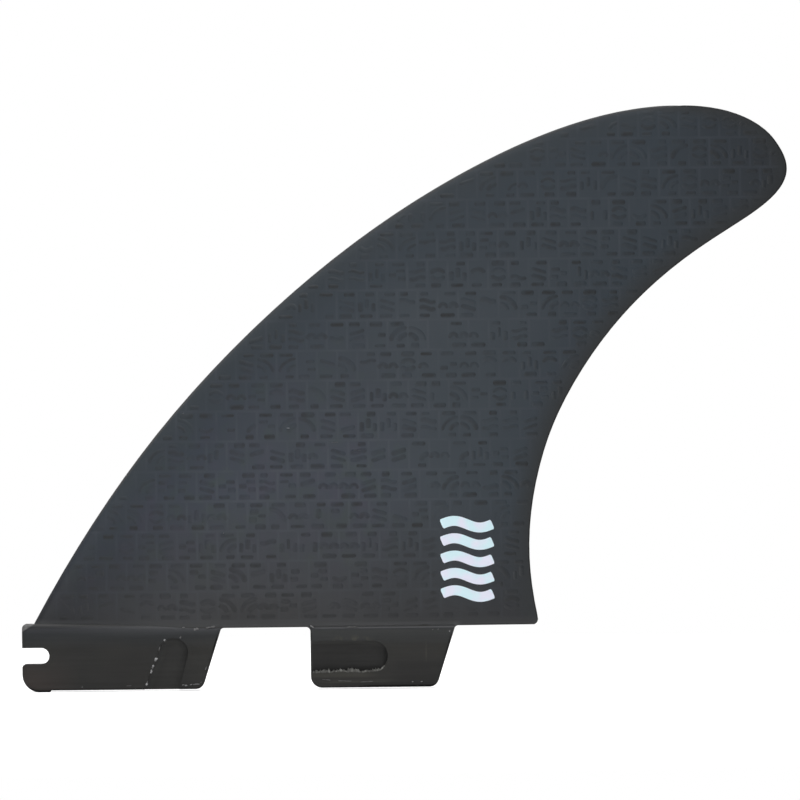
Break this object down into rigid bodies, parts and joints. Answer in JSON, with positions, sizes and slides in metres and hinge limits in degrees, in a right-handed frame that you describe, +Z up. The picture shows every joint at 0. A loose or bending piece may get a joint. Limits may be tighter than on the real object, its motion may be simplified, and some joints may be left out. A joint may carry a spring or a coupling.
{
  "type": "surfboard fin",
  "caption": "Raked, foiled side fin for a surfboard, moulded with click-in base tabs, a bar notch and grub screw pockets.",
  "frame": {"origin": "middle of the pair of tabs along their run, halfway through their thickness, on the seat plane where the blade's underside meets the board", "axes": "+X from the leading side to the trailing side, +Z up the blade away from the board, -Y out of the foiled outside face"},
  "size_m": [0.1748, 0.0064, 0.1317],
  "materials": {
    "fin_moulding": "matt charcoal with a fine raised tile pattern on the blade, plain semi-matt near-black on the tabs"
  },
  "bodies": {
    "root": {"fin": "fin_moulding"}
  },
  "joints": []
}
